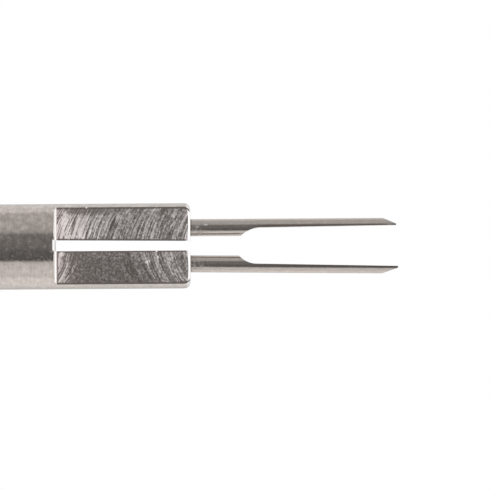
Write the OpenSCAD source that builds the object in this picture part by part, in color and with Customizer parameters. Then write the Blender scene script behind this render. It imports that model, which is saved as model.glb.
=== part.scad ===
// Two-pronged terminal extraction tool. Its body is one round bar: a plain shank, and a head that is
// milled flat on two sides and slit down the middle. A ground pin is let into each half of the head.
// The tool stands on its butt with the prongs up (+Z). The prongs lie side by side along X.

/* [Shank] */
// Diameter of the round bar
shank_d = 8; // [6.8:0.1:12]
// Length of the plain shank, from the butt to the shoulders of the head
shank_l = 68; // [50:0.05:110]
// Chamfer round the butt
butt_chamfer = 0.4; // [0.1:0.05:1]

/* [Head] */
// Length of the flats, from their shoulder to the front face
head_l = 12.67; // [11:0.01:20]
// Thickness of the head across the two flats
head_t = 3.5; // [2.5:0.1:5]
// Radius turned on the rim of the front face
nose_r = 0.6; // [0.3:0.05:1.2]
// Radius that the cutter leaves at the foot of each shoulder
shoulder_r = 0.2; // [0.05:0.01:0.5]
// Chamfer filed on the front edge of each flat
flat_break = 0.18; // [0.05:0.01:0.4]

/* [Slot] */
// Distance from the axis of the bar to the left wall of the slot, at its floor
slot_left = 0.53; // [0.35:0.01:0.65]
// Distance from the axis of the bar to the right wall of the slot
slot_right = 0.49; // [0.35:0.01:0.65]
// How far the left wall closes in from the floor to the mouth
slot_taper = 0.13; // [0:0.01:0.3]
// How far the slot runs past the shoulder, into the round shank
slot_overrun = 0.12; // [0.05:0.01:1]
// Chamfer on the mouth of the slot
mouth_break = 0.1; // [0.02:0.01:0.2]

/* [Prongs] */
// Diameter of the pins that the prongs are ground from
prong_d = 1.6; // [1.3:0.05:1.8]
// Length of the left prong in front of the head
left_l = 19.25; // [14:0.05:25]
// Length of the right prong in front of the head
right_l = 19.4; // [14:0.05:25]
// Distance between the centre lines of the prongs, where they leave the head
prong_pitch = 3.38; // [3.2:0.01:4]
// Depth that each prong is let into the head
seat_l = 9; // [5:0.5:10]
// Radial clearance between a prong and its seat
seat_fit = 0.01; // [0.005:0.005:0.03]
// Chamfer on the end of each prong that sits in the head
seat_chamfer = 0.15; // [0.05:0.05:0.3]
// Included angle of the drill that makes the seats
drill_angle = 118; // [90:1:140]
// Angle that the left prong leans outwards
left_splay = 0; // [0:0.05:1]
// Angle that the right prong leans outwards
right_splay = 0.7; // [0:0.05:1]

/* [Relief] */
// Distance from the head to the full depth of the left prong's relief
left_relief_z = 6.6; // [4:0.05:9]
// Distance from the head to the full depth of the right prong's relief
right_relief_z = 6.15; // [4:0.05:9]
// Radius of the left run-out, where the relief leaves the full round
left_relief_r = 2.8; // [1:0.05:3.5]
// Radius of the right run-out
right_relief_r = 2.15; // [1:0.05:3.5]
// Thickness left of the prong at the root of the relief
root_t = 0.83; // [0.75:0.01:1]
// Thickness left of the prong at its tip, before the bevel
tip_t = 0.69; // [0.4:0.01:0.8]
// Angle of the bevel on the outside of the left tip
left_bevel = 24; // [12:1:45]
// Angle of the bevel on the outside of the right tip
right_bevel = 20; // [12:1:45]
// Thickness left at the very point of the left prong
left_point_t = 0.12; // [0.02:0.01:0.3]
// Thickness left at the very point of the right prong
right_point_t = 0.16; // [0.02:0.01:0.3]

/* [Hidden] */
$fn = 96;

shank_r = shank_d / 2;
prong_r = prong_d / 2;
shoulder_z = shank_l;
front_z = shoulder_z + head_l;
seat_r = prong_r + seat_fit;
// What a cutter reaches past the surface that it opens
past = 1;
// Length and breadth that take a cutter right through the bar
through = 2 * shank_d;

LEFT = -1;
RIGHT = 1;

// Places its children at a prong's root. There +Z runs along the prong and +X faces away from the
// other prong.
module at_prong(side, splay) {
    translate([side * prong_pitch / 2, 0, front_z])
        mirror([side == LEFT ? 1 : 0, 0, 0])
            rotate([0, splay, 0])
                children();
}

// Turns a profile drawn in X and Y so that its Y becomes Z, and extrudes it both ways along Y.
module along_y(width) {
    rotate([90, 0, 0])
        linear_extrude(height = width, center = true)
            children();
}

// Turns a profile drawn in X and Y to Y and Z, and extrudes it both ways along X.
module along_x(width) {
    rotate([90, 0, 90])
        linear_extrude(height = width, center = true)
            children();
}

// Half of the bar's outline, with the chamfered butt and the rounded nose.
module bar_outline() {
    polygon([
        [0, 0],
        [shank_r - butt_chamfer, 0],
        [shank_r, butt_chamfer],
        [shank_r, front_z - nose_r],
        [0, front_z - nose_r]
    ]);
    square([shank_r - nose_r, front_z]);
    translate([shank_r - nose_r, front_z - nose_r])
        circle(r = nose_r);
}

// What the mill takes off one side of the head: a flat that starts from a square shoulder with a
// rounded foot, and ends in a filed front edge.
module flat_outline() {
    flat_y = head_t / 2;
    foot_y = flat_y + shoulder_r;
    foot_z = shoulder_z + shoulder_r;
    polygon([
        [flat_y, foot_z],
        [foot_y, shoulder_z],
        [flat_y + through, shoulder_z],
        [flat_y + through, front_z + past],
        [flat_y, front_z + past]
    ]);
    translate([foot_y, foot_z])
        circle(r = shoulder_r);
    polygon([
        [flat_y - flat_break - past, front_z + past],
        [flat_y + past, front_z + past],
        [flat_y + past, front_z - flat_break - past]
    ]);
}

// The slot from the front, with a chamfered mouth. Its right wall runs along the bar, and its left
// wall leans towards it.
module slot_outline() {
    floor_z = shoulder_z - slot_overrun;
    lean = slot_taper / (front_z - floor_z);
    mouth_x = slot_taper - slot_left;
    polygon([
        [-slot_left, floor_z],
        [slot_right, floor_z],
        [slot_right, front_z - mouth_break],
        [slot_right + mouth_break + past, front_z + past],
        [mouth_x - mouth_break - past, front_z + past],
        [mouth_x - lean * mouth_break, front_z - mouth_break]
    ]);
}

// A drilled seat, with the cone that the drill leaves at its floor.
module seat() {
    cone_l = seat_r / tan(drill_angle / 2);
    rotate_extrude()
        polygon([
            [0, -seat_l - cone_l],
            [seat_r, -seat_l],
            [seat_r, past],
            [0, past]
        ]);
}

// What the grinding wheel takes off the inner side of a prong: a slightly tapered flat, led into
// by a hollow of the run-out radius. Drawn with X across the prong and Y along it.
module relief_outline(length, relief_z, relief_r) {
    root_x = prong_r - root_t;
    taper = atan((root_t - tip_t) / (length - relief_z));
    translate([root_x, relief_z])
        rotate(-taper)
            mirror([1, 0]) {
                square([through, length]);
                translate([relief_r, 0])
                    circle(r = relief_r);
                translate([relief_r, -relief_r])
                    square([through, length]);
            }
}

// What is ground off the outer side of a tip.
module bevel_outline(length, angle, point_t) {
    point_x = prong_r - tip_t + point_t;
    translate([point_x, length])
        rotate(angle)
            translate([0, -length / 2])
                square([through, length]);
}

module body() {
    color("silver")
        difference() {
            rotate_extrude()
                bar_outline();
            along_x(through)
                flat_outline();
            mirror([0, 1, 0])
                along_x(through)
                    flat_outline();
            along_y(through)
                slot_outline();
            at_prong(LEFT, left_splay)
                seat();
            at_prong(RIGHT, right_splay)
                seat();
        }
}

// One prong: a round pin with a chamfered end in the head, the ground relief and the bevelled tip.
module prong(side, splay, length, relief_z, relief_r, bevel_angle, point_t) {
    pin_l = seat_l + length;
    color("lightgray")
        at_prong(side, splay)
            difference() {
                translate([0, 0, -seat_l])
                    rotate_extrude()
                        polygon([
                            [0, 0],
                            [prong_r - seat_chamfer, 0],
                            [prong_r, seat_chamfer],
                            [prong_r, pin_l],
                            [0, pin_l]
                        ]);
                along_y(through)
                    relief_outline(length, relief_z, relief_r);
                along_y(through)
                    bevel_outline(length, bevel_angle, point_t);
            }
}

module left_prong() {
    prong(LEFT, left_splay, left_l, left_relief_z, left_relief_r, left_bevel, left_point_t);
}

module right_prong() {
    prong(RIGHT, right_splay, right_l, right_relief_z, right_relief_r, right_bevel, right_point_t);
}

body();
left_prong();
right_prong();
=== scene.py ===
import math
from typing import NamedTuple

import bpy
from mathutils import Matrix, Vector


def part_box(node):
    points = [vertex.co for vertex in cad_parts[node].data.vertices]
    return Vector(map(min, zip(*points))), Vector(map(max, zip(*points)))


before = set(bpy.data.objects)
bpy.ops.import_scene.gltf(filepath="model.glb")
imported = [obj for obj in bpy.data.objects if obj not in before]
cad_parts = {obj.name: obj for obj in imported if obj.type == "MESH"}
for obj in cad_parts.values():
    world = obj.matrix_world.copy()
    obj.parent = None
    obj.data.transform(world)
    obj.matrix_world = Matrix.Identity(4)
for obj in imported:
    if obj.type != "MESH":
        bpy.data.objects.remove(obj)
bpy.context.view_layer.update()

# The camera and the studio are in metres, and the materials work in millimetres. The tool stands on
# its butt at the origin with the prongs up, +Z. The photograph lays it on its side: its right is +Z
# here, its top is -X, and the camera looks along +Y.
MM = 0.001

# The photograph's width and scale, and what it shows in the middle of its frame
FRAME_PX = 490
MM_PER_PX = 0.09368
AIM = Vector((-0.026, 0, 85.77)) * MM
# Where the camera stands: its distance, how far round the tool from square to the flats, its roll
CAMERA_DISTANCE = 402 * MM
CAMERA_AZIMUTH = math.radians(1.8)
CAMERA_ROLL = math.radians(0.39)
CAMERA_NEAR = 0.01
CAMERA_FAR = 20
SENSOR = 36.0


def make_camera():
    """A long lens square to the head, rolled so that the tool lies across the picture."""
    data = bpy.data.cameras.new("camera")
    data.sensor_width = SENSOR
    data.lens = SENSOR * CAMERA_DISTANCE / (FRAME_PX * MM_PER_PX * MM)
    data.clip_start = CAMERA_NEAR
    data.clip_end = CAMERA_FAR
    camera = bpy.data.objects.new("camera", data)
    bpy.context.scene.collection.objects.link(camera)
    back = Vector((math.sin(CAMERA_AZIMUTH), -math.cos(CAMERA_AZIMUTH), 0))
    across = Vector((-math.cos(CAMERA_AZIMUTH), -math.sin(CAMERA_AZIMUTH), 0))
    along = Vector((0, 0, 1))
    right = math.cos(CAMERA_ROLL) * along - math.sin(CAMERA_ROLL) * across
    up = math.sin(CAMERA_ROLL) * along + math.cos(CAMERA_ROLL) * across
    turn = Matrix((right, up, back)).transposed().to_4x4()
    camera.matrix_world = Matrix.Translation(AIM + back * CAMERA_DISTANCE) @ turn
    bpy.context.scene.camera = camera


# Nodes

class Step(NamedTuple):
    """A smooth step: where it starts and ends, and what it gives before it and after it. Each of the
    four may be a field too."""

    start: float
    end: float
    before: float = 0.0
    after: float = 1.0


class Noise(NamedTuple):
    """A noise from 0 to 1: its bumps per unit, its finer layers, and how strong those are."""

    scale: float
    detail: float
    roughness: float


# What a noise is on average
NOISE_MIDDLE = 0.5


class Field:
    """A value that differs from point to point, as a node puts it out. Arithmetic adds nodes."""

    def __init__(self, nodes, socket):
        self.nodes = nodes
        self.socket = socket

    def __add__(self, other):
        return self.nodes.math("ADD", self, other)

    def __sub__(self, other):
        return self.nodes.math("SUBTRACT", self, other)

    def __rsub__(self, other):
        return self.nodes.math("SUBTRACT", other, self)

    def __mul__(self, other):
        return self.nodes.math("MULTIPLY", self, other)

    def __truediv__(self, other):
        return self.nodes.math("DIVIDE", self, other)

    def __abs__(self):
        return self.nodes.math("ABSOLUTE", self)

    # sum() starts with a plain 0
    __radd__ = __add__

    def at_least(self, other):
        return self.nodes.math("MAXIMUM", self, other)

    def at_most(self, other):
        return self.nodes.math("MINIMUM", self, other)

    def below(self, limit):
        """1 where it is under the limit, and 0 elsewhere."""
        return self.nodes.math("LESS_THAN", self, limit)

    def root(self):
        return self.nodes.math("SQRT", self)

    def ease(self, step):
        """The step's value at each point."""
        inputs = {
            "Value": self,
            "From Min": step.start,
            "From Max": step.end,
            "To Min": step.before,
            "To Max": step.after,
        }
        return self.nodes.field("ShaderNodeMapRange", 0, inputs, interpolation_type="SMOOTHSTEP")

    # A Mix node has sockets of its own for each type of data, under the same names, so they are given
    # by number here.

    def mix(self, a, b):
        """a where this is 0, b where it is 1, and between them elsewhere."""
        return self.nodes.field("ShaderNodeMix", 0, {0: self, 2: a, 3: b}, data_type="FLOAT")

    def mix_colour(self, a, b):
        """The same for two colours."""
        return self.nodes.field("ShaderNodeMix", 2, {0: self, 6: a, 7: b}, data_type="RGBA")

    def noise(self, noise):
        """A noise over the places that this gives."""
        inputs = {
            "Vector": self,
            "Scale": noise.scale,
            "Detail": noise.detail,
            "Roughness": noise.roughness,
        }
        return self.nodes.field("ShaderNodeTexNoise", 0, inputs)

    def distance(self, point):
        """How far the places that this gives are from a point."""
        return self.nodes.field("ShaderNodeVectorMath", "Value", {0: self, 1: point}, operation="DISTANCE")


class Nodes:
    """The nodes of a world or a material."""

    def __init__(self, owner):
        owner.use_nodes = True
        owner.node_tree.nodes.clear()
        self.tree = owner.node_tree

    def add(self, kind, inputs, **settings):
        """A new node. Its inputs are given by name or number, as plain values or as fields."""
        node = self.tree.nodes.new(kind)
        for name, value in settings.items():
            setattr(node, name, value)
        for name, value in inputs.items():
            socket = node.inputs[name]
            if isinstance(value, Field):
                self.tree.links.new(value.socket, socket)
            else:
                socket.default_value = value
        return node

    def field(self, kind, output=0, inputs=None, **settings):
        """What a new node puts out."""
        node = self.add(kind, inputs or {}, **settings)
        return Field(self, node.outputs[output])

    def math(self, operation, a, b=0.0):
        return self.field("ShaderNodeMath", 0, {0: a, 1: b}, operation=operation)

    def vector(self, operation, a, b=(0, 0, 0)):
        return self.field("ShaderNodeVectorMath", 0, {0: a, 1: b}, operation=operation)

    def point(self, x, y, z):
        return self.field("ShaderNodeCombineXYZ", 0, {0: x, 1: y, 2: z})

    def split(self, vector):
        """The three parts of a vector."""
        node = self.add("ShaderNodeSeparateXYZ", {0: vector})
        return [Field(self, output) for output in node.outputs]

    def ramp(self, value, stops):
        """A colour that runs through stops, each a place from 0 to 1 and a colour."""
        node = self.add("ShaderNodeValToRGB", {0: value})
        elements = node.color_ramp.elements
        while len(elements) < len(stops):
            elements.new(1.0)
        for element, (place, colour) in zip(elements, stops):
            element.position = place
            element.color = colour
        return Field(self, node.outputs[0])


def grey(level):
    return (level, level, level, 1.0)


def scaled(colour, factor):
    return tuple(channel * factor for channel in colour[:3]) + (1.0,)


WHITE = grey(1.0)


# Studio

# What the metal sees of the studio walls: bearing in degrees from the front, growing towards +X, and
# how bright the wall is there, with 1 as white
WALLS = [
    # The white sheet behind the tool
    (-180, 1.00),
    (-175, 1.00),
    # The left wall, bright at the back and softer in front
    (-171, 0.69),
    (-162, 0.69),
    (-148, 0.84),
    (-110, 0.85),
    (-99, 0.56),
    (-92, 0.59),
    (-60, 0.575),
    (-45, 0.545),
    (-38, 0.47),
    # The dim part of the room round the camera
    (-31, 0.235),
    (7, 0.21),
    (13, 0.165),
    (38.5, 0.13),
    # The soft box on the right
    (45, 0.70),
    (54, 0.81),
    (75, 0.86),
    (89, 0.80),
    (97, 0.99),
    (124, 1.00),
    (138, 0.90),
    (151, 0.70),
    (163, 0.62),
    (171, 0.62),
    # The white sheet again
    (175, 1.00),
    (180, 1.00),
]
# The soft light overhead, by the sine of the elevation
TOP_LIGHT = 1.25
TOP_EDGE = Step(0.36, 0.62)
# The same below the horizon, for the light that the pale floor throws back. It hides less than half
# of the walls' own tone.
BOTTOM_LIGHT = 0.8
BOTTOM_EDGE = Step(0.50, 0.72, after=0.45)

# The floor is a square of this half width, just clear of the butt
FLOOR_HALF = 0.35
FLOOR_GAP = 0.02 * MM
FLOOR_CORNERS = ((-1, -1), (1, -1), (1, 1), (-1, 1))
FLOOR_PAINT = 0.86
# Distances from the tool between which the floor gives way to the room behind it, as the camera sees
# it and as the metal does
FLOOR_FADE = Step(0.05, 0.30)
FLOOR_GLOSS_FADE = Step(0.012, 0.05)


def make_world():
    """A studio of soft pale walls with a soft light overhead. The camera itself sees plain white."""
    world = bpy.data.worlds.new("studio")
    nodes = Nodes(world)
    x, y, up = nodes.split(nodes.field("ShaderNodeTexCoord", "Generated"))
    # The bearing as a part of a full turn, with the front in its middle
    turn = nodes.math("ARCTAN2", x, y * -1.0) * (1 / math.tau) + 0.5
    walls = nodes.ramp(turn, [(degrees / 360 + 0.5, grey(level)) for degrees, level in WALLS])
    room = up.ease(TOP_EDGE).mix_colour(walls, grey(TOP_LIGHT))
    room = (up * -1.0).ease(BOTTOM_EDGE).mix_colour(room, grey(BOTTOM_LIGHT))
    for_camera = nodes.field("ShaderNodeLightPath", "Is Camera Ray")
    colour = for_camera.mix_colour(room, WHITE)
    background = nodes.field("ShaderNodeBackground", 0, {"Color": colour})
    nodes.add("ShaderNodeOutputWorld", {"Surface": background})
    bpy.context.scene.world = world


def floor_paint():
    """Plain pale paint, and nothing where the room shows instead."""
    material = bpy.data.materials.new("floor")
    nodes = Nodes(material)
    distance = nodes.field("ShaderNodeTexCoord", "Object").distance((0, 0, 0))
    for_camera = distance.ease(FLOOR_FADE) * nodes.field("ShaderNodeLightPath", "Is Camera Ray")
    for_metal = distance.ease(FLOOR_GLOSS_FADE) * nodes.field("ShaderNodeLightPath", "Is Glossy Ray")
    paint = nodes.field("ShaderNodeBsdfDiffuse", 0, {"Color": grey(FLOOR_PAINT)})
    clear = nodes.field("ShaderNodeBsdfTransparent")
    gone = for_camera.at_least(for_metal)
    surface = nodes.field("ShaderNodeMixShader", 0, {0: gone, 1: paint, 2: clear})
    nodes.add("ShaderNodeOutputMaterial", {"Surface": surface})
    return material


def make_floor():
    """A plain pale floor under the butt, which fades into the white room further out."""
    mesh = bpy.data.meshes.new("floor")
    corners = [(x * FLOOR_HALF, y * FLOOR_HALF, 0) for x, y in FLOOR_CORNERS]
    mesh.from_pydata(corners, [], [(0, 1, 2, 3)])
    mesh.materials.append(floor_paint())
    floor = bpy.data.objects.new("floor", mesh)
    floor.location.z = -FLOOR_GAP
    bpy.context.scene.collection.objects.link(floor)


# Steel

# The head, in mm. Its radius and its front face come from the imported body, and the rest repeats the
# part's source, which this script can't read.
HEAD_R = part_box("body")[1].x / MM
FRONT_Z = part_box("body")[1].z / MM
HEAD_L = 12.67
HEAD_T = 3.5
SLOT_LEFT = 0.53
SLOT_RIGHT = 0.49
SLOT_TAPER = 0.13
FRONT_BREAK = 0.18
NOSE_R = 0.6
SHOULDER_Z = FRONT_Z - HEAD_L
# How far from the axis the flats reach, where they meet the round sides
FLAT_EDGE_X = math.sqrt(HEAD_R ** 2 - (HEAD_T / 2) ** 2)
# How far from the axis the look of one half of the head gives way to that of the other
HALVES_MEET = 0.3

STEEL = (0.60, 0.54, 0.50, 1)


class Spot:
    """Where a point of the steel is, in mm: across the prongs, to the back, up, and along from root_z."""

    def __init__(self, nodes, root_z):
        self.nodes = nodes
        place = nodes.field("ShaderNodeTexCoord", "Object")
        place = nodes.field("ShaderNodeVectorMath", 0, {0: place, "Scale": 1 / MM}, operation="SCALE")
        self.across, self.depth, self.up = nodes.split(place)
        self.along = self.up - root_z

    def place(self, up_scale=1.0):
        """The point itself, with its height multiplied by up_scale."""
        return self.nodes.point(self.across, self.depth, self.up * up_scale)

    def in_front(self):
        """1 on the front of the tool and 0 on its back."""
        return self.depth.below(0.0)


def halves(spot, left, right):
    """One value on the left half of the head and another on the right."""
    return spot.across.ease(Step(-HALVES_MEET, HALVES_MEET, left, right))


# Ground flats: their scratches

# Here and below, places and steps along or across the head are in mm. A tone of 0 is dull steel, and
# a tone of 1 is bright.

# Radius of the scratches' arcs, and how far to the right of the axis they are centred, on each half
LEFT_ARC_R = 9.6
LEFT_ARC_X = 1.8
RIGHT_ARC_R = 7.1
RIGHT_ARC_X = -0.75
# The few by the right shoulder curve the other way
BACK_ARC_R = 6.0
BACK_ARC_X = -0.4
# How much closer together the scratches of the right half are
RIGHT_CLOSENESS = 1.25
# Least height of an arc over its centre, where a point lies past its end
LEAST_RISE = 1.0
# What makes the back of the tool unlike its front
BACK_SEED = 2.7


class Lines(NamedTuple):
    """A noise drawn out into lines: how many per mm, how long in mm, and which of its kind."""

    per_mm: float
    length: float
    seed: float = 0.0
    detail: float = 0.0
    roughness: float = 0.5


# Long scratches and their tone, and short ones between them
LONG_LINES = Lines(6.6, 3.6, detail=0.3, roughness=0.7)
LONG_TONE = Step(0.24, 0.76, before=-0.40, after=0.40)
SHORT_LINES = Lines(7.2, 1.4, seed=9.0)
SHORT_TONE = 0.8
# Thin bright lines, drawn where a noise crosses its middle, and the noise that breaks them up
HAIRS = Lines(2.6, 4.0, seed=20.0)
HAIR_WIDTH = Step(0.0, 0.07, before=1.0, after=0.0)
HAIR_BREAKS = Lines(2.6, 0.9, seed=30.0)
HAIR_KEPT = Step(0.42, 0.62)
HAIR_TONE = 0.55
# What is taken off for the hairs, so that the lines stay about 0
HAIR_BALANCE = 0.07
# How deep the scratches go in one place and another
LINE_DEPTH = Lines(1.3, 0.8, detail=1.0)
DEPTH_TONE = Step(0.35, 0.65, before=0.7, after=1.25)

# How strong the scratches are on each half, by the distance along it on the right
LEFT_STRENGTH = 1.05
RIGHT_STRENGTH = Step(1.0, 4.5, before=0.62, after=0.86)
# On the right half, where the scratches that curve the other way end, and then the part with none
BACK_ARCS_END = Step(0.7, 2.4, before=1.0, after=0.0)
PLAIN_END = Step(3.5, 8.0, before=1.0, after=0.0)
# The worn part ends on a line that slants by this much along for each mm across
SLANT = 0.7
# The grain between the scratches, its tone, and how strong it is along the head
GRAIN = Noise(5.8, 0.7, 0.6)
GRAIN_TONE = Step(0.25, 0.8, before=-0.29, after=0.42)
GRAIN_STRENGTH = Step(2.0, 4.5, before=0.6, after=1.0)
# How much of it the scratches that curve the other way hide
GRAIN_HIDDEN = 0.6


def slanted(spot):
    """The distance along the head, measured from a slanted line."""
    return spot.along - spot.across * SLANT


def drawn_out(lines, level, across, seed):
    """The noise of these lines, from 0 to 1, where level stays the same along each line."""
    place = level.nodes.point(level * lines.per_mm, across / lines.length, seed + lines.seed)
    return place.noise(Noise(1.0, lines.detail, lines.roughness))


def scratches(level, across, seed):
    """Bright and dark lines along the arcs, about 0."""
    long_lines = drawn_out(LONG_LINES, level, across, seed).ease(LONG_TONE)
    short_lines = drawn_out(SHORT_LINES, level, across, seed) - NOISE_MIDDLE
    hairs = abs(drawn_out(HAIRS, level, across, seed) - NOISE_MIDDLE).ease(HAIR_WIDTH)
    hairs = hairs * drawn_out(HAIR_BREAKS, level, across, seed).ease(HAIR_KEPT)
    strength = drawn_out(LINE_DEPTH, level, across, seed).ease(DEPTH_TONE)
    lines = long_lines + short_lines * SHORT_TONE + hairs * HAIR_TONE - HAIR_BALANCE
    return lines * strength


def arc_rise(across, radius, centre):
    """How high an arc stands over its centre."""
    offset = across - centre
    return (radius * radius - offset * offset).at_least(LEAST_RISE).root()


def arches(spot, seed):
    """The arched scratches, about 0, and how far the direction square to them leans to the right."""
    radius = halves(spot, LEFT_ARC_R, RIGHT_ARC_R)
    centre = halves(spot, LEFT_ARC_X, RIGHT_ARC_X)
    rise = arc_rise(spot.across, radius, centre)
    level = (spot.along + rise) * halves(spot, 1.0, RIGHT_CLOSENESS)
    return scratches(level, spot.across, seed), (centre - spot.across) / rise


def back_arches(spot, seed):
    """The scratches that curve the other way, about 0."""
    level = spot.along - arc_rise(spot.across, BACK_ARC_R, BACK_ARC_X)
    return scratches(level, spot.across, seed)


def flat_pattern(spot):
    """The scratches and the grain of the flats, about 0, and the lean of the scratches as above."""
    seed = spot.depth * BACK_SEED
    right = halves(spot, 0.0, 1.0)
    by_shoulder = right * spot.along.ease(BACK_ARCS_END)
    plain = right * slanted(spot).ease(PLAIN_END)
    lines, lean = arches(spot, seed)
    lines = plain.mix(lines, by_shoulder.mix(0.0, back_arches(spot, seed)))
    strength = halves(spot, LEFT_STRENGTH, spot.along.ease(RIGHT_STRENGTH))
    grain = spot.nodes.point(spot.across, spot.along, seed).noise(GRAIN).ease(GRAIN_TONE)
    grain = grain * spot.along.ease(GRAIN_STRENGTH) * (1.0 - by_shoulder * GRAIN_HIDDEN)
    return lines * strength + grain, lean


# Ground flats: their rims

# Distance from the axis at which the outer rim starts, and is full
OUTER_RIM = Step(FLAT_EDGE_X - 0.24, FLAT_EDGE_X - 0.10)
# Distance from the slot's walls over which the inner rims end
LEFT_RIM = Step(0.08, 0.24, before=1.0, after=0.0)
RIGHT_RIM = Step(0.06, 0.18, before=1.0, after=0.0)
# The filed strip also brightens the flats' tone: a painted highlight.
# The filed strip starts at the front break, and its start bows back from the middle of each flat by
# this much for each square mm. Then the width of its blurred edge.
FILED_BOW = 0.085
FILED_EDGE = Step(-0.03, 0.05)


def outer_rim(spot):
    """1 along the outer rims of the flats, which close in where the nose is rounded."""
    into_nose = (spot.along - (HEAD_L - NOSE_R)).at_least(0.0)
    rise = (NOSE_R ** 2 - into_nose * into_nose).at_least(0.0).root()
    closing = (NOSE_R - rise) * (HEAD_R / FLAT_EDGE_X)
    return (abs(spot.across) + closing).ease(OUTER_RIM)


def all_rims(spot, outer):
    """1 along the rims of the flats and of the slot, where the edges were deburred and shade is painted.
    """
    left_wall = spot.along * (SLOT_TAPER / HEAD_L) - SLOT_LEFT
    left = (left_wall - spot.across).ease(LEFT_RIM)
    right = (spot.across - SLOT_RIGHT).ease(RIGHT_RIM)
    inner = spot.across.below(0.0).mix(right, left)
    return outer.at_least(inner)


def filed_front_and_highlight(spot):
    """1 where the file ran back from the flats' front edge, furthest at the corners, with a painted
    highlight.
    """
    from_middle = abs(spot.across) - 0.5 * (FLAT_EDGE_X + SLOT_RIGHT)
    start = (HEAD_L - FRONT_BREAK) - from_middle * from_middle * FILED_BOW
    return (spot.along - start).ease(FILED_EDGE)


# Ground flats: their tone

# The left half: its tone, how much darker its outer side is near the shoulder, and what it gains on
# a brighter stretch past that, by where this starts and ends along the flat and across it
LEFT_TONE = Step(6.0, 11.0, before=0.46, after=0.49)
NEAR_SHOULDER = Step(1.4, 4.5, before=1.0, after=0.0)
OUTER_SIDE = Step(-3.4, -0.9, before=-0.18, after=0.0)
LEFT_GAIN_START = Step(2.0, 3.4)
LEFT_GAIN_END = Step(4.2, 5.2, before=0.24, after=0.0)
LEFT_GAIN_SIDE = Step(-3.0, -2.2)
# The right half: its tone from the shoulder on, what it gains past the worn part, and what the worn
# part gains beside the slot, by where this starts and ends along the flat and across it
RIGHT_TONE = Step(0.4, 1.7, before=0.32, after=0.06)
RIGHT_GAIN = Step(5.7, 8.4, before=0.0, after=0.36)
INNER_START = Step(2.0, 3.5)
INNER_END = Step(7.0, 8.5, before=1.0, after=0.0)
INNER_SIDE = Step(0.8, 1.8, before=0.15, after=0.0)
# What the rims keep of the tone, which paints shade along them
RIM_SHADE_KEEPS = Step(0.0, 1.0, before=1.0, after=0.10)
# The shade at the shoulder's foot: where it starts, and on each half where it ends and what it keeps
FOOT_START = 0.24
FOOT_END_LEFT = 1.1
FOOT_END_RIGHT = 0.42
FOOT_KEEPS_LEFT = 0.45
FOOT_KEEPS_RIGHT = 0.10
# The worn stretch along the left half's outer edge: where it starts and ends along and across the
# flat, and how much tone it loses
WORN_START = Step(0.7, 1.3)
WORN_END = Step(2.5, 7.0, before=1.0, after=0.2)
WORN_SIDE = Step(-3.15, -2.75, before=1.0, after=0.0)
WORN_LOSS = 0.72
# What the rims lose besides as painted shade, and the painted glint on the fillet at the shoulder's foot
RIM_SHADE_LOSS = 0.10
FOOT_GLINT = Step(0.18, 0.24, before=0.55, after=0.0)

# The bright marks are painted glints
# Marks on the front flats: how far across and along, their radius, and how much brighter or darker
# they are than the flat round them
MARKS_AND_GLINTS = [
    (-2.07, 5.40, 0.60, -0.30),
    (-1.95, 5.75, 0.35, -0.20),
    (1.55, 8.57, 0.14, 1.50),
    (1.75, 8.69, 0.10, 0.80),
    (2.05, 8.82, 0.09, 0.60),
    (2.35, 8.95, 0.08, 0.50),
    (1.41, 8.84, 0.11, 0.80),
    (1.09, 9.64, 0.12, 1.60),
    (-3.58, 3.00, 0.10, 1.80),
    (0.54, 9.53, 0.11, 1.60),
    (1.07, 11.95, 0.25, -0.30),
    (0.75, 0.70, 0.25, 0.40),
]
# The part of its radius at which a mark starts to fade, and where it is gone
MARK_CORE = 0.4
MARK_END = 1.3


def flat_tone(spot):
    """How much light the flats throw back: bright by the shoulder, dark on the right."""
    along = spot.along
    left = along.ease(LEFT_TONE) + along.ease(NEAR_SHOULDER) * spot.across.ease(OUTER_SIDE)
    left_gain = along.ease(LEFT_GAIN_START) * along.ease(LEFT_GAIN_END) * spot.across.ease(LEFT_GAIN_SIDE)
    right = along.ease(RIGHT_TONE) + slanted(spot).ease(RIGHT_GAIN)
    inner = along.ease(INNER_START) * along.ease(INNER_END) * spot.across.ease(INNER_SIDE)
    return halves(spot, left + left_gain, right + inner)


def flat_shade_and_wear(spot, rims):
    """What the tone keeps: painted shade along the rims and by the shoulder's foot, and wear on a worn
    stretch.
    """
    foot_end = halves(spot, FOOT_END_LEFT, FOOT_END_RIGHT)
    foot_keeps = halves(spot, FOOT_KEEPS_LEFT, FOOT_KEEPS_RIGHT)
    foot = spot.along.ease(Step(FOOT_START, foot_end, foot_keeps, 1.0))
    worn = spot.along.ease(WORN_START) * spot.along.ease(WORN_END) * spot.across.ease(WORN_SIDE)
    return rims.ease(RIM_SHADE_KEEPS) * foot * (1.0 - worn * WORN_LOSS)


def flat_marks_and_glints(spot):
    """The dents, chips and dull patches of the front flats, about 0, with painted glints on the bright
    ones.
    """
    place = spot.nodes.point(spot.across, spot.along, 0.0)
    marks = []
    for across, along, radius, change in MARKS_AND_GLINTS:
        edge = Step(MARK_CORE * radius, MARK_END * radius, before=change, after=0.0)
        marks.append(place.distance((across, along, 0)).ease(edge))
    return sum(marks) * spot.in_front()


def ground_tone(spot, pattern, outer, filed_and_highlight):
    """The tone of the flats: under 0 in the deepest scratches, and over 1 where they glint."""
    rims = all_rims(spot, outer)
    tone = (flat_tone(spot) + pattern) * flat_shade_and_wear(spot, rims)
    # Painted shade on the rims, and painted glints of the marks, the fillet at the foot and the filed
    # strip
    return tone + flat_marks_and_glints(spot) - rims * RIM_SHADE_LOSS + spot.along.ease(FOOT_GLINT) + filed_and_highlight


# Turned shank

TURNED_DARK = scaled(STEEL, 0.86)
TURNED_BRIGHT = scaled(STEEL, 1.5)
# How bright it is between those two, on average
TURNED_LIT = 0.24
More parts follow.
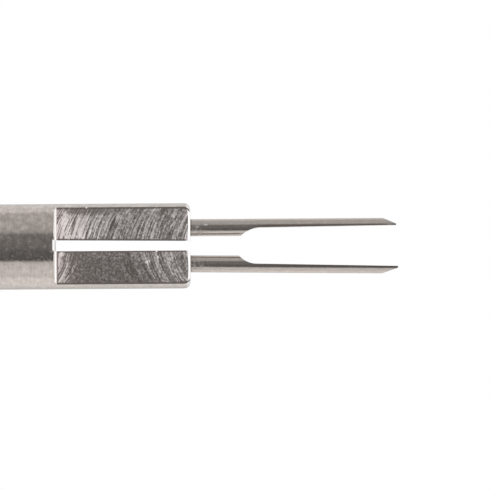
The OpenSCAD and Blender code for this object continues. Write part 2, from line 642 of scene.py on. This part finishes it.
# Rings round the shank: height counts more than its real length, which squeezes the noise
RINGS = Noise(0.8, 2.0, 0.6)
RINGS_UP_SCALE = 9.0
RING_CONTRAST = 0.8
# Pits that catch the light, and blotches, which are stronger to the left
PITS = Noise(4.2, 2.0, 0.6)
PIT_EDGE = Step(0.46, 0.76)
BLOTCHES = Noise(1.8, 2.0, 0.6)
BLOTCH_CONTRAST = Step(-1.0, 2.0, before=1.7, after=0.8)
# Both are stronger near the head, the only part of the shank that the photograph shows
BY_HEAD = Step(SHOULDER_Z - 14, SHOULDER_Z - 4, before=0.25, after=1.0)
# Roughness of the bare metal, and what a ring and a pit add
TURNED_ROUGH = 0.07
RING_ROUGH = 0.06
PIT_ROUGH = 0.36


def turned(spot):
    """Colour and roughness of turned steel, with fine rings round it and pits that catch the light."""
    rings = spot.place(RINGS_UP_SCALE).noise(RINGS)
    place = spot.place()
    by_head = spot.up.ease(BY_HEAD)
    contrast = spot.across.ease(BLOTCH_CONTRAST) * by_head
    blotches = (place.noise(BLOTCHES) - NOISE_MIDDLE) * contrast
    lit = (rings - NOISE_MIDDLE) * RING_CONTRAST + TURNED_LIT + blotches
    pits = place.noise(PITS).ease(PIT_EDGE) * by_head
    rough = pits * PIT_ROUGH + rings * RING_ROUGH + TURNED_ROUGH
    return lit.mix_colour(TURNED_DARK, TURNED_BRIGHT), rough


# The body's faces

# How far a face looks along one of the axes, from 0 to 1, for it to be a flat, a wall of the slot, an
# end face, or the chamfer that is filed on the front of a flat
FLAT_FACING = Step(0.90, 0.97)
WALL_FACING = Step(0.9, 0.95)
END_FACING = Step(0.25, 0.6)
CHAMFER_FACING = Step(0.60, 0.68)
CHAMFER_END = Step(0.80, 0.90, before=1.0, after=0.0)
# Where the flats start along the head, and how far from the axis what belongs to the slot ends
FLAT_START = Step(0.13, 0.17)
SLOT_SIDES = Step(0.8, 1.0, before=1.0, after=0.0)


class Faces:
    """How far a point belongs to each kind of face of the body, from 0 to 1."""

    def __init__(self, spot):
        normal = spot.nodes.field("ShaderNodeTexCoord", "Normal")
        facing_x, facing_y, facing_z = [abs(part) for part in spot.nodes.split(normal)]
        self.in_slot = abs(spot.across).ease(SLOT_SIDES)
        self.flat = facing_y.ease(FLAT_FACING) * spot.along.ease(FLAT_START)
        self.wall = facing_x.ease(WALL_FACING) * self.in_slot
        self.end = facing_z.ease(END_FACING)
        self.chamfer = facing_y.ease(CHAMFER_FACING) * facing_y.ease(CHAMFER_END)


# Body steel

# The flats at a tone of 0 and of 1, the shoulders with the slot's walls, and the front face
DULL = (0.62, 0.54, 0.505, 1)
BRIGHT = (0.99, 0.93, 0.915, 1)
FACED = (0.98, 0.975, 0.97, 1)
FRONT_FACE = (0.70, 0.665, 0.64, 1)
# Painted shade in the bottoms of the deepest scratches, and the tone at which it starts to show
DEEP_SHADE = scaled(DULL, 0.72)
DEEP_SHADE_TONE = Step(-0.22, 0.02, before=1.0, after=0.0)
# The slot's floor is shaded at its back and at its front, by how far back a point lies
SLOT_BACK = Step(0.7, 1.2)
SLOT_BACK_STEEL = scaled(STEEL, 0.50)
SLOT_FRONT = Step(-3.1, -2.7, before=1.0, after=0.0)
SLOT_FRONT_STEEL = scaled(STEEL, 0.15)
# Where the front face takes its own colour
FRONT_START = Step(HEAD_L - 0.09, HEAD_L)
# Painted shade on the outer ends of the filed chamfer, and less of it at the very front
CORNER_SHADE = scaled(STEEL, 0.25)
CORNER_SHADE_FADE = Step(HEAD_L - 0.10, HEAD_L - 0.04, before=1.0, after=0.3)
# Roughness of a dull flat, what a tone of 1 adds, and that of the end faces and the slot's walls
FLAT_ROUGH = 0.18
TONE_ROUGH = 0.42
END_ROUGH = 0.20
WALL_ROUGH = 0.08
# Scratches and rings draw reflections out square to themselves: along the shank, and mostly along Y
# on the end faces, by how strongly the direction turns there
ANISOTROPY = 0.6
END_TURN = 5.0
SCRATCH_DEPTH = 0.012 * MM
# How far the flats lean up to the soft light overhead: near the shoulder, where they are hollow, by
# the first at any tone and by the second for a tone of 1, then where they are filed, and in a glint
HOLLOW = Step(0.3, 4.6, before=1.0, after=0.0)
HOLLOW_LEAN = 0.15
HOLLOW_TONE_LEAN = 0.40
FILED_LEAN = 0.6
GLINT_LEAN = Step(0.6, 2.2, before=0.0, after=0.45)


def end_colour(spot, faces):
    """The colour of the faces that look along the tool: the shoulders, the slot's floor, the front."""
    back = faces.in_slot * spot.depth.ease(SLOT_BACK)
    front = faces.in_slot * spot.depth.ease(SLOT_FRONT)
    colour = back.mix_colour(FACED, SLOT_BACK_STEEL)
    colour = front.mix_colour(colour, SLOT_FRONT_STEEL)
    return spot.along.ease(FRONT_START).mix_colour(colour, FRONT_FACE)


def body_colour(spot, faces, tone, light, turned_colour, outer):
    """The colour of the whole body: the shank, then the flats, the end faces, and the painted shade on the
    corners.
    """
    ground = light.mix_colour(DULL, BRIGHT)
    # Painted shade where the tone falls below 0
    ground = tone.ease(DEEP_SHADE_TONE).mix_colour(ground, DEEP_SHADE)
    colour = faces.flat.mix_colour(turned_colour, ground)
    faced = faces.wall.mix_colour(end_colour(spot, faces), FACED)
    colour = faces.wall.at_least(faces.end).mix_colour(colour, faced)
    # Painted shade on the outer ends of the chamfer
    corner_shade = faces.chamfer * spot.along.ease(CORNER_SHADE_FADE) * outer
    return corner_shade.mix_colour(colour, CORNER_SHADE)


def body_roughness(faces, light, turned_rough):
    """How rough the body is. Rough means bright here: scratches scatter the studio's light."""
    rough = faces.flat.mix(turned_rough, light * TONE_ROUGH + FLAT_ROUGH)
    rough = faces.end.mix(rough, END_ROUGH)
    return faces.wall.mix(rough, WALL_ROUGH)


def body_normal(spot, faces, pattern, tone, light, filed_and_highlight):
    """The way the surface faces, with the lean of the flats and the depth of their scratches."""
    nodes = spot.nodes
    hollow = spot.along.ease(HOLLOW) * (light * HOLLOW_TONE_LEAN + HOLLOW_LEAN)
    lean = (hollow + filed_and_highlight * FILED_LEAN + tone.ease(GLINT_LEAN)) * faces.flat
    normal = nodes.field("ShaderNodeNewGeometry", "Normal")
    leaning = nodes.vector("NORMALIZE", nodes.vector("ADD", normal, nodes.point(0.0, 0.0, lean)))
    inputs = {
        "Height": pattern * faces.flat,
        "Distance": SCRATCH_DEPTH,
        "Strength": 1.0,
        "Normal": leaning,
    }
    return nodes.field("ShaderNodeBump", 0, inputs)


def metal(nodes, inputs):
    """Ends a material in bare metal with these inputs."""
    shader = nodes.field("ShaderNodeBsdfPrincipled", 0, {"Metallic": 1.0, **inputs})
    nodes.add("ShaderNodeOutputMaterial", {"Surface": shader})


def body_steel():
    """Turned steel with ground flats."""
    material = bpy.data.materials.new("body_steel")
    nodes = Nodes(material)
    spot = Spot(nodes, SHOULDER_Z)
    faces = Faces(spot)
    outer = outer_rim(spot)
    # The filed strip: it leans to the light overhead and carries a painted highlight
    filed_and_highlight = filed_front_and_highlight(spot) * (1.0 - outer)
    pattern, lean = flat_pattern(spot)
    tone = ground_tone(spot, pattern, outer, filed_and_highlight)
    light = tone.at_least(0.0).at_most(1.0)
    turned_colour, turned_rough = turned(spot)
    tangent = nodes.point(lean * faces.flat, faces.end * END_TURN, 1.0)
    inputs = {
        "Base Color": body_colour(spot, faces, tone, light, turned_colour, outer),
        "Roughness": body_roughness(faces, light, turned_rough),
        "Anisotropic": ANISOTROPY,
        "Tangent": nodes.vector("NORMALIZE", tangent),
        "Normal": body_normal(spot, faces, pattern, tone, light, filed_and_highlight),
    }
    metal(nodes, inputs)
    return material


# Prong steel

# Here along is the distance in front of the head.

DRAWN_DARK = scaled(STEEL, 0.78)
DRAWN_BRIGHT = scaled(STEEL, 1.5)
# How bright it is between those two, on average
DRAWN_LIT = 0.30
# Lines along the pin: height counts less than its real length, which draws the noise out
DRAWN_LINES = Noise(9.0, 2.0, 0.6)
DRAWN_UP_SCALE = 0.12
DRAWN_CONTRAST = 0.75
# Flecks among the lines
FLECKS = Noise(5.0, 2.0, 0.6)
FLECK_CONTRAST = 0.55
# Roughness of the bare pin, what a fleck and a smudge add, and that of a nick
DRAWN_ROUGH = 0.085
FLECK_ROUGH = 0.08
SMUDGE_ROUGH = 0.38
NICK_ROUGH = 0.6
# Smudges, which are strongest where the pin leaves the head
SMUDGES = Noise(2.6, 1.0, 0.5)
SMUDGE_EDGE = Step(0.40, 0.62, before=0.25, after=1.0)
SMUDGE_NEAR = Step(0.4, 2.2, before=1.0, after=0.22)
SMUDGE_FAR = Step(4.0, 7.0, before=1.0, after=0.3)
# Painted shade along the ground edge of the left prong: its two sides across, and where it starts
EDGE_SHADE = (0.34, 0.27, 0.24, 1)
EDGE_SHADE_SIDE = Step(-2.0, -1.87)
EDGE_SHADE_END = Step(-0.5, 0.0, before=1.0, after=0.0)
EDGE_SHADE_START = Step(5.5, 7.0, before=0.0, after=0.6)
# The shade on the pin where it leaves the head
ROOT_STEEL = scaled(STEEL, 0.2)
ROOT_SHADE = Step(0.05, 0.25, before=0.35, after=0.0)

# The brightness of each nick is a painted glint
# Nicks on the front of the left prong: how far across and along, their reach each way, and how
# bright they are
NICK_GLINTS = [
    (-1.92, 1.45, 0.07, 0.24, 0.9),
    (-1.73, 0.70, 0.10, 0.10, 0.7),
    (-1.87, 18.60, 0.05, 0.30, 0.4),
]
# Square of the distance from a nick's middle, in reaches, at which it starts to fade and is gone
NICK_CORE = 0.3
NICK_END = 1.2


def nick_glints(spot):
    """The painted glint on each nick of the left prong, from 0 to 1."""
    marks = []
    for across, along, reach_across, reach_along, change in NICK_GLINTS:
        from_x = (spot.across - across) / reach_across
        from_z = (spot.along - along) / reach_along
        edge = Step(NICK_CORE, NICK_END, before=change, after=0.0)
        marks.append((from_x * from_x + from_z * from_z).ease(edge))
    return sum(marks) * spot.in_front()


def prong_colour(spot, flecks, nick_and_glint):
    """Drawn lines and flecks, then painted shade by the ground edge, painted nick glints, and shade by the
    head.
    """
    lines = spot.place(DRAWN_UP_SCALE).noise(DRAWN_LINES)
    streaks = (lines - NOISE_MIDDLE) * DRAWN_CONTRAST
    lit = streaks + (flecks - NOISE_MIDDLE) * FLECK_CONTRAST + DRAWN_LIT
    edge_shade = spot.across.ease(EDGE_SHADE_SIDE) * spot.across.ease(EDGE_SHADE_END) * spot.along.ease(EDGE_SHADE_START)
    colour = lit.mix_colour(DRAWN_DARK, DRAWN_BRIGHT)
    colour = edge_shade.mix_colour(colour, EDGE_SHADE)
    colour = nick_and_glint.mix_colour(colour, FACED)
    return spot.along.ease(ROOT_SHADE).mix_colour(colour, ROOT_STEEL)


def prong_roughness(spot, place, flecks, nick_and_glint):
    """Smooth drawn metal, rougher where it is smudged or on a nick."""
    smudges = spot.along.ease(SMUDGE_NEAR) * spot.along.ease(SMUDGE_FAR)
    smudges = smudges * place.noise(SMUDGES).ease(SMUDGE_EDGE)
    rough = smudges * SMUDGE_ROUGH + flecks * FLECK_ROUGH + DRAWN_ROUGH
    return nick_and_glint.mix(rough, NICK_ROUGH)


def prong_steel():
    """Drawn pin steel: bright, with fine lines along it and small marks in them."""
    material = bpy.data.materials.new("prong_steel")
    nodes = Nodes(material)
    spot = Spot(nodes, FRONT_Z)
    place = spot.place()
    flecks = place.noise(FLECKS)
    nick_and_glint = nick_glints(spot)
    inputs = {
        "Base Color": prong_colour(spot, flecks, nick_and_glint),
        "Roughness": prong_roughness(spot, place, flecks, nick_and_glint),
    }
    metal(nodes, inputs)
    return material


def dress(piece, material):
    """Gives a piece this material and no other."""
    piece.data.materials.clear()
    piece.data.materials.append(material)


bpy.context.scene.view_settings.view_transform = "Standard"
make_camera()
make_world()
make_floor()
dress(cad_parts["body"], body_steel())
drawn_steel = prong_steel()
for name in ("left_prong", "right_prong"):
    dress(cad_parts[name], drawn_steel)
